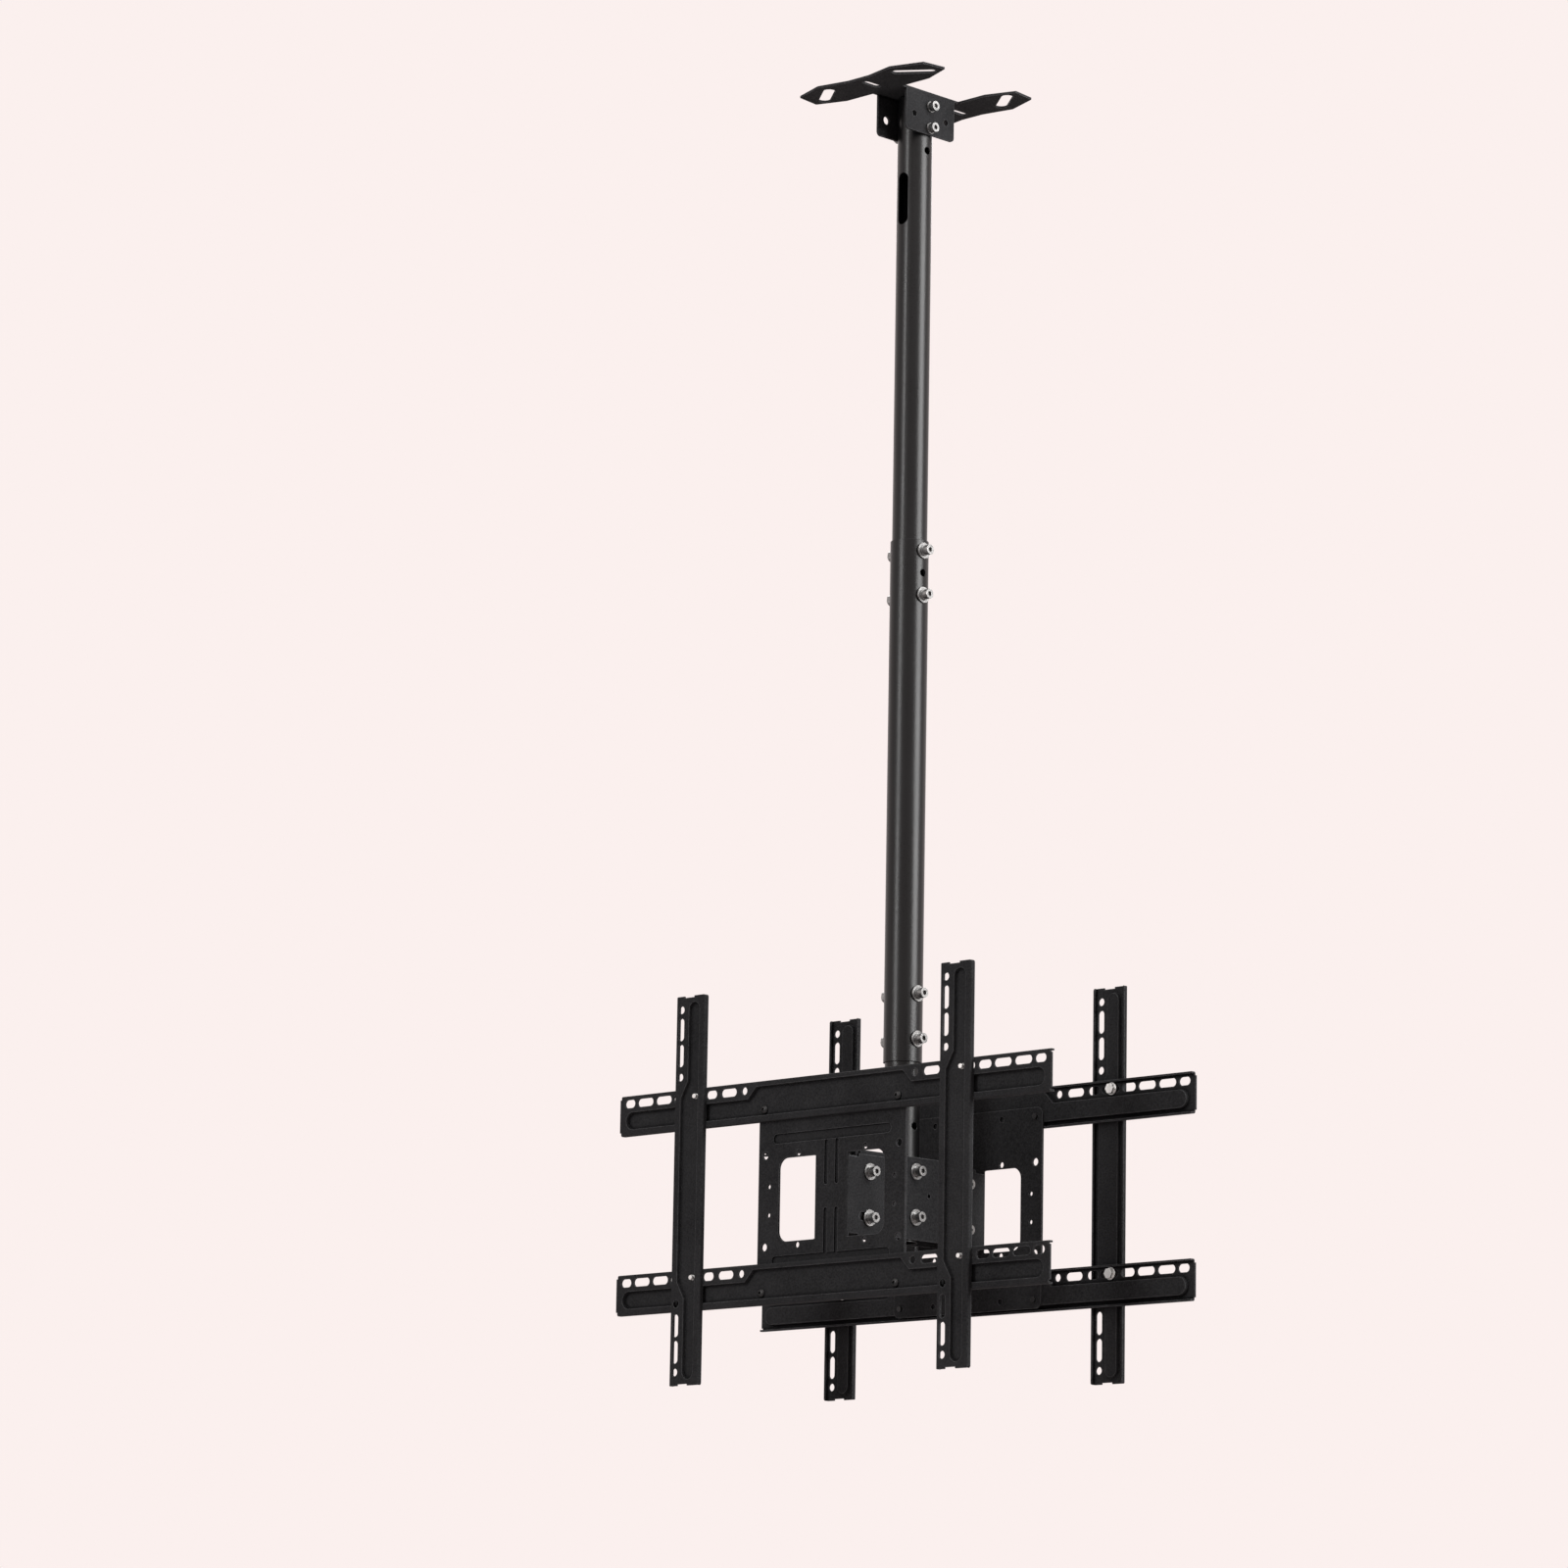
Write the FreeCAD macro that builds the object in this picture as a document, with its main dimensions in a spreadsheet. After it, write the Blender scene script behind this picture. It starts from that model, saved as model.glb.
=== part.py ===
"""Ceiling mount for two screens back to back, in millimetres, +Z up.

The origin is the middle of the ceiling bracket's top face, which lies against the ceiling.
X runs along the screens, and the front screen faces -Y.
"""
import FreeCAD, Part
import Sketcher
import math
import os

from FreeCAD import Rotation, Vector

DOC = FreeCAD.newDocument("CeilingMount")

# Every driving dimension: alias, value, what it measures.
SIZES = (
    ("bracket_gauge", 2.5, "sheet of the ceiling bracket"),
    ("bracket_reach", 99.5, "half length of each ceiling strip"),
    ("bracket_depth", 101.5, "centre to the outer edge of a ceiling strip"),
    ("bracket_waist", 8.0, "how far the strip's outer edge narrows at its middle"),
    ("strip_width", 56.0, "width of a ceiling strip"),
    ("strip_tip", 30.0, "width of a strip's end edge"),
    ("strip_taper", 36.0, "length of a strip's tapered end"),
    ("fixing_slot_length", 50.0, "long ceiling slots, end to end"),
    ("fixing_slot_width", 13.0, "long ceiling slots, across"),
    ("fixing_slot_x", 67.5, "long ceiling slots, centre from the middle along X"),
    ("fixing_slot_y", 74.0, "long ceiling slots, centre from the middle along Y"),
    ("fixing_slot_turn", 37.0, "long ceiling slots, angle in degrees to X"),
    ("middle_slot_length", 26.0, "short ceiling slots, end to end"),
    ("middle_slot_width", 8.6, "short ceiling slots, across"),
    ("middle_slot_y", 71.5, "short ceiling slots, centre from the middle"),
    ("cheek_gap", 41.0, "between the two cheeks of the bracket"),
    ("cheek_width", 78.0, "width of a cheek along Y"),
    ("cheek_drop", 49.5, "bottom of the cheeks below the ceiling"),
    ("cheek_corner", 5.0, "corner radius of a cheek"),
    ("spare_hole_y", 25.4, "spare holes of a cheek, each side of the tube"),
    ("spare_hole_bore", 7.0, "spare holes of the right cheek"),
    ("spare_hole_wide", 9.4, "spare holes of the left cheek"),
    ("tube_outer", 39.0, "outer diameter of the inner tubes"),
    ("tube_wall", 2.0, "wall of the inner tubes"),
    ("sleeve_outer", 42.6, "outer diameter of the drop tube"),
    ("sleeve_slack", 0.1, "radial clearance of a tube inside the drop tube"),
    ("tube_headroom", 2.0, "upper tube's end below the bracket sheet"),
    ("upper_tube_length", 747.0, "upper tube"),
    ("drop_tube_length", 583.0, "drop tube"),
    ("head_tube_length", 288.0, "head tube"),
    ("head_tube_overlap", 91.0, "head tube's top above the drop tube's bottom"),
    ("top_bolt_drop", 17.0, "first tube bolt below the ceiling"),
    ("index_pitch", 25.0, "pitch of the height holes"),
    ("index_inset", 24.0, "last height hole above the upper tube's end"),
    ("index_travel", 150.0, "how far the drop tube can be let down"),
    ("joint_pitch", 50.0, "pitch of a pair of through bolts"),
    ("joint_inset", 12.5, "first bolt below the drop tube's top"),
    ("lower_joint_inset", 25.0, "last bolt above the drop tube's bottom"),
    ("cable_slot_length", 60.0, "cable slot of the upper tube"),
    ("cable_slot_width", 14.5, "cable slot of the upper tube"),
    ("cable_slot_drop", 123.0, "middle of the cable slot below the ceiling"),
    ("bolt_size", 8.0, "shank of the large bolts"),
    ("bolt_hole", 8.6, "holes for the large bolts"),
    ("bolt_flats", 13.0, "across the flats of a large bolt's nut"),
    ("bolt_head_across", 11.0, "round head of a large bolt"),
    ("bolt_socket", 5.0, "hexagon socket of a large bolt, across flats"),
    ("bolt_socket_depth", 3.6, "depth of that socket"),
    ("thread_root", 6.8, "core of a threaded end, between its ridges"),
    ("bolt_head", 7.2, "height of a large bolt's head"),
    ("nut_height", 6.4, "height of a large nut"),
    ("bolt_spare", 3.0, "thread that stands out of a nut"),
    ("washer_outer", 18.0, "flat washer"),
    ("washer_gauge", 1.6, "flat washer"),
    ("spring_outer", 12.4, "spring washer"),
    ("spring_gauge", 1.8, "spring washer"),
    ("spring_split", 1.0, "gap of a spring washer"),
    ("thread_slack", 0.2, "nut and washer bores over the shank"),
    ("head_drop", 155.0, "middle of the heads below the drop tube"),
    ("head_bolt_rise", 34.5, "upper head bolt above the middle of the heads"),
    ("side_gauge", 3.0, "side plate of the head"),
    ("side_reach", 88.0, "half length of a side plate along Y"),
    ("side_height", 90.0, "height of a side plate"),
    ("side_rise", 5.0, "middle of a side plate above the middle of the heads"),
    ("side_corner", 4.0, "corner radius of a side plate"),
    ("tilt_bolt_reach", 75.0, "tilt bolts from the tube's axis along Y"),
    ("tilt_rise", 27.0, "tilt pivot above the middle of the heads"),
    ("tilt_pitch", 50.0, "tilt pivot to tilt lock bolt"),
    ("tilt_range", 12.0, "tilt of a head in degrees"),
    ("tilt_slot_width", 9.4, "slot for the tilt lock bolt, across"),
    ("side_spare_y", 20.5, "small holes of a side plate, each side of the tube"),
    ("face_reach", 109.0, "face of a head plate from the tube's axis"),
    ("face_gauge", 2.5, "sheet of a head plate"),
    ("face_width", 220.0, "head plate along X"),
    ("face_height", 220.0, "head plate along Z"),
    ("face_corner", 8.0, "corner radius of a head plate"),
    ("window_reach", 79.0, "outer side of a window from the middle"),
    ("window_height", 91.0, "window along Z"),
    ("window_corner", 12.0, "outer corner radius of a window"),
    ("flap_depth", 57.0, "how far a flap reaches back from the plate's face"),
    ("flap_notch", 3.6, "relief notch at a flap's root, along Z"),
    ("flap_notch_run", 14.0, "relief notch at a flap's root, along Y"),
    ("flap_height", 90.0, "flap along Z"),
    ("screen_hole_wide", 100.0, "outer plate holes from the middle along X"),
    ("screen_hole_near", 50.0, "inner plate holes, and all plate holes along Z"),
    ("screen_hole_bore", 8.6, "outer plate holes"),
    ("near_hole_bore", 6.6, "inner plate holes"),
    ("pilot_bore", 5.0, "small plate holes"),
    ("pilot_x", 94.0, "small plate holes from the middle along X"),
    ("pilot_z", 15.5, "small plate holes from the middle along Z"),
    ("bead_depth", 1.5, "depth of the plate's pressed beads"),
    ("bead_width", 10.4, "long beads, across"),
    ("bead_length", 176.0, "long bead above the windows"),
    ("bead_rise", 67.0, "long bead above the middle of the heads"),
    ("low_bead_length", 176.0, "lower bead below the windows"),
    ("low_bead_drop", 66.0, "lower bead below the middle of the heads"),
    ("stem_width", 5.0, "short upright beads, across"),
    ("stem_length", 49.0, "short upright beads"),
    ("stem_x", 8.0, "short upright beads from the middle"),
    ("stem_rise", 37.0, "middle of the short upright beads"),
    ("rail_length", 647.0, "rail"),
    ("rail_height", 45.0, "rail along Z"),
    ("rail_depth", 6.5, "rail along Y"),
    ("rail_corner_run", 2.0, "how far a rail's lips stop short of its end"),
    ("rail_corner_rise", 4.0, "height of that step at a rail's end"),
    ("rail_gauge", 2.0, "sheet of a rail"),
    ("rail_row", 100.0, "rail screws above and below the middle"),
    ("rail_foot", 13.5, "rail's lower edge below its screws"),
    ("rail_slot_row", 22.4, "rail's slots above its screws"),
    ("rail_slot_width", 9.2, "rail's slots, across"),
    ("rail_round_x", 128.0, "round hole at the start of a slot row"),
    ("rail_round_bore", 8.6, "round hole at the start of a slot row"),
    ("rail_slot_a1", 140.0, "first slot of a row starts"),
    ("rail_slot_a2", 164.0, "first slot of a row ends"),
    ("rail_slot_b1", 170.5, "second slot starts"),
    ("rail_slot_b2", 187.0, "second slot ends"),
    ("rail_slot_c1", 190.0, "bar slot starts"),
    ("rail_slot_c2", 215.0, "bar slot ends"),
    ("rail_slot_d1", 219.5, "fourth slot starts"),
    ("rail_slot_d2", 238.5, "fourth slot ends"),
    ("rail_slot_e1", 242.0, "fifth slot starts"),
    ("rail_slot_e2", 267.0, "fifth slot ends"),
    ("rail_slot_f1", 271.0, "sixth slot starts"),
    ("rail_slot_f2", 296.0, "sixth slot ends"),
    ("rail_slot_g1", 300.0, "last slot starts"),
    ("rail_slot_g2", 316.0, "last slot ends"),
    ("rail_step_low", 7.0, "pressed channel's lower side above the rail's foot"),
    ("rail_step_high", 26.5, "pressed channel's upper side at the ends"),
    ("rail_step_mid", 39.5, "pressed channel's upper side at the middle"),
    ("rail_step_reach", 314.0, "pressed channel's end from the middle"),
    ("rail_mid_reach", 110.0, "where the pressed channel widens, from the middle"),
    ("press_slope", 1.2, "run of a pressed channel's sloping side"),
    ("rail_screw_bore", 6.4, "rail screw holes"),
    ("rail_screw_size", 6.0, "rail screws"),
    ("rail_screw_head", 9.6, "rail screw head across"),
    ("rail_screw_rise", 4.0, "rail screw head height"),
    ("rail_screw_socket", 4.0, "hexagon socket of a rail screw, across flats"),
    ("bar_height", 430.0, "upright bar"),
    ("bar_width", 45.0, "upright bar along X"),
    ("bar_depth", 5.5, "upright bar along Y"),
    ("bar_corner", 2.6, "corner radius of an upright bar's end"),
    ("bar_notch_depth", 1.8, "notch in a bar's end edge"),
    ("bar_notch_start", 12.5, "that notch starts, from the hole edge"),
    ("bar_notch_width", 15.5, "width of that notch"),
    ("bar_gauge", 2.0, "sheet of an upright bar"),
    ("bar_rise", 19.5, "bar's middle above the middle of the heads"),
    ("screen_pitch_x", 400.0, "screen holes, bar to bar"),
    ("screen_pitch_z", 400.0, "screen holes, end to end"),
    ("band_wall", 1.6, "outside of a pressed band beyond its hollow"),
    ("bar_hole_inset", 8.5, "bar's hole line from its edge"),
    ("bar_hole_bore", 8.6, "bar's holes and slots, across"),
    ("bar_slot_length", 25.0, "bar's slots, end to end"),
    ("bar_slot_one", 22.0, "first slot from the end hole"),
    ("bar_slot_two", 51.0, "second slot from the end hole"),
    ("bar_hole_two", 75.0, "second hole from the end hole"),
    ("bar_step_near", 20.0, "narrow pressed channel from the hole edge"),
    ("bar_step_wide", 9.0, "wide pressed channel from the hole edge"),
    ("bar_step_far", 36.5, "pressed channel's far side from the hole edge"),
    ("bar_step_inset", 7.0, "pressed channel's end from the bar's end"),
    ("bar_jog_start", 95.0, "wide channel starts, from the bar's end"),
    ("bar_jog_run", 19.0, "length of the slanting change of width"),
    ("bar_screw_x", 21.5, "bar screws from the hole line"),
    ("bar_screw_size", 6.0, "bar screws"),
    ("bar_screw_core", 4.9, "core of a bar screw's threaded end"),
    ("bar_screw_bore", 6.2, "bar screw holes"),
    ("bar_screw_head", 10.0, "bar screw head across the flats"),
    ("front_screw_shift", -1.5, "front bars' screws off the middle along X"),
    ("back_screw_shift", 5.0, "back bars' screws off the middle along X"),
    ("bar_screw_rise", 4.0, "bar screw head height"),
    ("bar_screw_end", 3.4, "bar screw's end in front of the pressed channel"),
    ("bar_washer_outer", 13.6, "bar screw washer"),
    ("bar_washer_gauge", 1.5, "bar screw washer"),
)


class Size:
    """A length that carries both its spreadsheet formula and its value."""

    def __init__(self, text, value):
        self.text = text
        self.value = value

    def join(self, sign, other, value):
        return Size("(%s %s %s)" % (self.text, sign, as_size(other).text), value)

    def __add__(self, other):
        return self.join("+", other, self.value + as_size(other).value)

    def __sub__(self, other):
        return self.join("-", other, self.value - as_size(other).value)

    def __mul__(self, other):
        return self.join("*", other, self.value * as_size(other).value)

    def __truediv__(self, other):
        return self.join("/", other, self.value / as_size(other).value)

    def __neg__(self):
        return Size("(0 - %s)" % self.text, -self.value)

    def __radd__(self, other):
        return as_size(other) + self

    def __rsub__(self, other):
        return as_size(other) - self


def as_size(value):
    """Gives plain numbers the same form as the named sizes."""
    if isinstance(value, Size):
        return value
    return Size(repr(float(value)), float(value))


def make_sheet():
    """Writes the driving dimensions and returns them by alias."""
    sheet = DOC.addObject("Spreadsheet::Sheet", "Sizes")
    named = {}
    for row, (alias, value, meaning) in enumerate(SIZES, start=1):
        sheet.set("A%d" % row, meaning)
        sheet.set("B%d" % row, str(value))
        sheet.setAlias("B%d" % row, alias)
        named[alias] = Size("Sizes.%s" % alias, value)
    DOC.recompute()
    return named


D = make_sheet()
OVERRUN = 1.0    # how far a tube's bore cutter passes each end
CUTTER = 4       # length of a cutter, in gauges of the sheet that it goes through
TOP_HOLES = 3    # upper tube's holes below the ceiling
# Shares that keep a shape's look when its sizes change.
WAIST_SHARES = (0.5, 0.25, 0.125)    # corners of a strip's outer edge, of half its shoulder
JOG_SHARE = 0.25                     # growth of a bar's band along Z at its jog, of the wall
CROWN_SHARE = 0.48                   # radius of a nut's end face, of its flats
DOME_SHARE = 0.62                    # radius of a rail screw's dome, of its head
SOCKET_SHARE = 0.6                   # depth of a rail screw's socket, of its head's rise
ALONG = {
    "x": Rotation(Vector(0, 1, 0), 90),
    "y": Rotation(Vector(1, 0, 0), -90),
    "z": Rotation(),
}
# Turns of a drawing or a slot, whose length, width and depth start along X, Y and Z.
LEVEL = Rotation()
FACING = Rotation(Vector(1, 0, 0), 90)
UPRIGHT = Rotation(Vector(1, 1, 1), 240)
ENDWAYS = Rotation(Vector(1, 1, 1), 120)
HALF_TURN_Z = Rotation(Vector(0, 0, 1), 180)
HALF_TURN_X = Rotation(Vector(1, 0, 0), 180)
NODES = []


def bind(item, field, size):
    """Ties one property to its formula."""
    item.setExpression(field, as_size(size).text)


def place(item, spot, turn=None):
    """Ties an object's place to the sheet, with a fixed turn."""
    base = [as_size(s) for s in spot]
    item.Placement = FreeCAD.Placement(Vector(*[b.value for b in base]), turn or Rotation())
    for axis, size in zip("xyz", base):
        bind(item, "Placement.Base." + axis, size)
    return item


def box(name, low, size):
    """A block from its lowest corner."""
    item = DOC.addObject("Part::Box", name)
    for field, length in zip(("Length", "Width", "Height"), size):
        bind(item, field, length)
    return place(item, low)


def rod(name, across, length, spot, axis="z"):
    """A round bar from the middle of its lower end, along one axis."""
    item = DOC.addObject("Part::Cylinder", name)
    bind(item, "Radius", across / 2)
    bind(item, "Height", length)
    return place(item, spot, ALONG[axis])


def hexagon(name, flats, length, spot, axis="x"):
    """A six-sided bar, for heads, nuts and sockets."""
    item = DOC.addObject("Part::Prism", name)
    item.Polygon = 6
    bind(item, "Circumradius", flats / math.sqrt(3))
    bind(item, "Height", length)
    return place(item, spot, ALONG[axis])


def cut(name, base, tools):
    """Takes tools away from a base."""
    item = DOC.addObject("Part::Cut", name)
    item.Base = base
    item.Tool = tools[0] if len(tools) == 1 else fuse(name + "_tools", tools)
    return item


def fuse(name, pieces):
    """Joins pieces into one solid."""
    item = DOC.addObject("Part::MultiFuse", name)
    item.Shapes = pieces
    item.Refine = True
    return item


def copy(name, source, spot, turn=None):
    """A second showing of a finished solid, somewhere else."""
    item = DOC.addObject("Part::Compound", name)
    item.Links = [source]
    return place(item, spot, turn)


def node(label, pieces):
    """Names a finished sub-part, whose file has the same name."""
    item = pieces[0]
    if len(pieces) > 1:
        item = DOC.addObject("Part::Compound", label)
        item.Links = pieces
    item.Label = label
    NODES.append(item)
    return item


def slot(name, spot, length, width, depth, turn=LEVEL):
    """A block with two half round ends, centred on its place."""
    straight = length - width
    core = box(name + "_core", (-straight / 2, -width / 2, -depth / 2), (straight, width, depth))
    ends = [rod(name + "_end", width, depth, (straight / 2 * side, 0, -depth / 2))
            for side in (-1, 1)]
    return place(fuse(name, [core] + ends), spot, turn)


def hole(name, across, depth, spot, axis):
    """A drill of the given depth, centred on its place."""
    shift = [as_size(s) for s in spot]
    index = "xyz".index(axis)
    shift[index] = shift[index] - depth / 2
    return rod(name, across, depth, shift, axis)


def round_sheet(name, spot, length, width, gauge, radius, turn=LEVEL):
    """A flat sheet with four round corners, centred on its place."""
    inner = (length - radius * 2, width - radius * 2)
    blocks = [
        box(name + "_long", (-length / 2, -inner[1] / 2, -gauge / 2), (length, inner[1], gauge)),
        box(name + "_wide", (-inner[0] / 2, -width / 2, -gauge / 2), (inner[0], width, gauge)),
    ]
    corners = [rod(name + "_corner", radius * 2, gauge, (inner[0] / 2 * a, inner[1] / 2 * b, -gauge / 2))
               for a in (-1, 1) for b in (-1, 1)]
    return place(fuse(name, blocks + corners), spot, turn)


def drawing(name, corners, spot, turn=LEVEL):
    """A closed outline of straight lines, each corner tied to the sheet."""
    sketch = DOC.addObject("Sketcher::SketchObject", name)
    corners = [(as_size(x), as_size(y)) for x, y in corners]
    points = [Vector(x.value, y.value, 0) for x, y in corners]
    for number, point in enumerate(points):
        after = points[(number + 1) % len(points)]
        sketch.addGeometry(Part.LineSegment(point, after), False)
    for number, corner in enumerate(corners):
        following = (number + 1) % len(points)
        sketch.addConstraint(Sketcher.Constraint("Coincident", number, 2, following, 1))
        for kind, size in zip(("DistanceX", "DistanceY"), corner):
            rule = Sketcher.Constraint(kind, -1, 1, number, 1, size.value)
            sketch.setExpression("Constraints[%d]" % sketch.addConstraint(rule), size.text)
    return place(sketch, spot, turn)


def prism(name, outline, depth, draft=0.0, back=False):
    """Pushes an outline out of its plane, or back through it, with sides that lean inwards."""
    item = DOC.addObject("Part::Extrusion", name)
    item.Base = outline
    item.DirMode = "Normal"
    item.Solid = True
    item.Reversed = back
    item.TaperAngle = -draft
    bind(item, "LengthFwd", depth)
    return item


def tube(name, outer, inner, length, top):
    """An upright tube from its top."""
    skin = rod(name + "_skin", outer, length, (0, 0, top - length))
    bore = rod(name + "_bore", inner, length + OVERRUN * 2, (0, 0, top - length - OVERRUN))
    return skin, bore


# Places that several pieces share.
CHEEK_OUT = D["cheek_gap"] / 2 + D["bracket_gauge"]
SIDE_IN = D["tube_outer"] / 2
SIDE_OUT = SIDE_IN + D["side_gauge"]
FLAP_OUT = SIDE_OUT + D["face_gauge"]
UPPER_TOP = -D["bracket_gauge"] - D["tube_headroom"]
UPPER_END = UPPER_TOP - D["upper_tube_length"]
RAIL_FACE = D["face_reach"] + D["rail_depth"]
BAR_FACE = RAIL_FACE + D["bar_depth"]
TOP_BOLTS = [-D["top_bolt_drop"] - D["index_pitch"] * n for n in range(TOP_HOLES)]
INDEX_STEPS = int(round((D["index_travel"] + D["joint_pitch"]).value / D["index_pitch"].value)) + 1
INDEX = [UPPER_END + D["index_inset"] + D["index_pitch"] * n for n in reversed(range(INDEX_STEPS))]
UPPER_JOINT = [INDEX[0], INDEX[0] - D["joint_pitch"]]
DROP_TOP = INDEX[0] + D["joint_inset"]
DROP_BOTTOM = DROP_TOP - D["drop_tube_length"]
LOWER_JOINT = [DROP_BOTTOM + D["lower_joint_inset"] + D["joint_pitch"] * n for n in range(2)]
HEAD = DROP_BOTTOM - D["head_drop"]
HEAD_BOLTS = [HEAD + D["head_bolt_rise"] - D["joint_pitch"] * n for n in range(2)]
PIVOT = HEAD + D["tilt_rise"]
LOCK = PIVOT - D["tilt_pitch"]
SCREW_ROWS = [HEAD + D["rail_row"] * way + D["rail_slot_row"] for way in (-1, 1)]
THROUGH = D["bracket_depth"] * 2
RAIL_SLOTS = [("rail_slot_%s1" % letter, "rail_slot_%s2" % letter) for letter in "abcdefg"]


def cross_holes(name, heights, across, y=0):
    """Drills along X, one for each height."""
    return [hole(name, across, THROUGH, (0, y, z), "x") for z in heights]


def ceiling_bracket():
    """One sheet: two strips on the ceiling, a web between them and two cheeks bent down."""
    gauge = D["bracket_gauge"]
    reach, depth = D["bracket_reach"], D["bracket_depth"]
    inner = depth - D["strip_width"]
    shoulder = reach - D["strip_taper"]
    tip_in = inner + (D["strip_width"] - D["strip_tip"]) / 2
    tip_out = tip_in + D["strip_tip"]
    start, ease, turn_in = [shoulder / 2 * share for share in WAIST_SHARES]
    half = [(start, D["bracket_waist"] - depth), (shoulder - ease, -depth),
            (reach - turn_in, -tip_out), (reach, -tip_in),
            (shoulder, -inner), (CHEEK_OUT, -inner)]
    right = half + [(x, -y) for x, y in reversed(half)]
    left = [(-x, y) for x, y in reversed(right)]
    sheet = prism("bracket_sheet", drawing("bracket_outline", right + left, (0, 0, -gauge)), gauge)
    cheeks = []
    for side in (-1, 1):
        middle = (CHEEK_OUT - gauge / 2) * side
        face = round_sheet("cheek", (middle, 0, -D["cheek_drop"] / 2), D["cheek_width"],
                           D["cheek_drop"], gauge, D["cheek_corner"], ENDWAYS)
        root = box("cheek_root", (middle - gauge / 2, -D["cheek_width"] / 2, -D["cheek_drop"] / 2),
                   (gauge, D["cheek_width"], D["cheek_drop"] / 2))
        cheeks += [face, root]
    tools = cross_holes("cheek_hole", TOP_BOLTS[:2], D["bolt_hole"])
    spare = (TOP_BOLTS[0] + TOP_BOLTS[1]) / 2
    for side in (-1, 1):
        for way, bore in ((1, D["spare_hole_bore"]), (-1, D["spare_hole_wide"])):
            tools.append(hole("spare_hole", bore, gauge * CUTTER,
                              (CHEEK_OUT * way, D["spare_hole_y"] * side, spare), "x"))
        tools.append(slot("middle_slot", (0, D["middle_slot_y"] * side, 0), D["middle_slot_length"],
                          D["middle_slot_width"], gauge * CUTTER, Rotation(Vector(0, 0, 1), 90)))
        for other in (-1, 1):
            turn = Rotation(Vector(0, 0, 1), -side * other * D["fixing_slot_turn"].value)
            tools.append(slot("fixing_slot", (D["fixing_slot_x"] * side, D["fixing_slot_y"] * other, 0),
                              D["fixing_slot_length"], D["fixing_slot_width"], gauge * CUTTER, turn))
    node("ceiling_bracket", [cut("ceiling_bracket", fuse("bracket_body", [sheet] + cheeks), tools)])


def tubes():
    """Upper tube, the drop tube around its lower end, and the head tube inside the drop tube."""
    bore = D["tube_outer"] - D["tube_wall"] * 2
    skin, inside = tube("upper", D["tube_outer"], bore, D["upper_tube_length"], UPPER_TOP)
    entry = slot("cable_slot", (0, -D["tube_outer"] / 2, -D["cable_slot_drop"]), D["cable_slot_length"],
                 D["cable_slot_width"], D["tube_outer"] / 2, UPRIGHT)
    tools = cross_holes("upper_hole", TOP_BOLTS + INDEX, D["bolt_hole"])
    node("upper_tube", [cut("upper_tube", skin, [inside, entry] + tools)])

    skin, inside = tube("drop", D["sleeve_outer"], D["tube_outer"] + D["sleeve_slack"] * 2,
                        D["drop_tube_length"], DROP_TOP)
    between = [(UPPER_JOINT[0] + UPPER_JOINT[1]) / 2]
    tools = cross_holes("drop_hole", UPPER_JOINT + between + LOWER_JOINT, D["bolt_hole"])
    node("drop_tube", [cut("drop_tube", skin, [inside] + tools)])

    skin, inside = tube("head", D["tube_outer"], bore, D["head_tube_length"],
                        DROP_BOTTOM + D["head_tube_overlap"])
    spare = [HEAD_BOLTS[0] + D["joint_pitch"]]
    tools = cross_holes("head_hole", HEAD_BOLTS + spare + LOWER_JOINT, D["bolt_hole"])
    node("head_tube", [cut("head_tube", skin, [inside] + tools)])


def side_plates():
    """Two flat plates beside the head tube, which carry both heads."""
    middle = HEAD + D["side_rise"]
    for label, side in (("right_side_plate", 1), ("left_side_plate", -1)):
        x = (SIDE_IN + D["side_gauge"] / 2) * side
        plate = round_sheet(label + "_sheet", (x, 0, middle), D["side_reach"] * 2, D["side_height"],
                            D["side_gauge"], D["side_corner"], ENDWAYS)
        tools = cross_holes("side_hole", HEAD_BOLTS, D["bolt_hole"])
        spare = (HEAD_BOLTS[0] + HEAD_BOLTS[1]) / 2
        for way in (-1, 1):
            tools += cross_holes("tilt_hole", [PIVOT, LOCK], D["bolt_hole"], D["tilt_bolt_reach"] * way)
            tools += cross_holes("side_spare", [spare], D["pilot_bore"], D["side_spare_y"] * way)
        node(label, [cut(label, plate, tools)])


def bend(name, corner, inward, length, radius, axis):
    """A tool that rounds an outside edge; the edge starts at corner and runs along axis."""
    square, centre = list(corner), list(corner)
    span = [radius, radius, radius]
    index = "xyz".index(axis)
    span[index] = length
    for n in range(3):
        if n == index:
            continue
        centre[n] = centre[n] + radius * inward[n]
        square[n] = centre[n] if inward[n] < 0 else square[n]
    block = box(name + "_block", square, span)
    return cut(name, block, [rod(name + "_round", radius * 2, length, centre, axis)])


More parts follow.
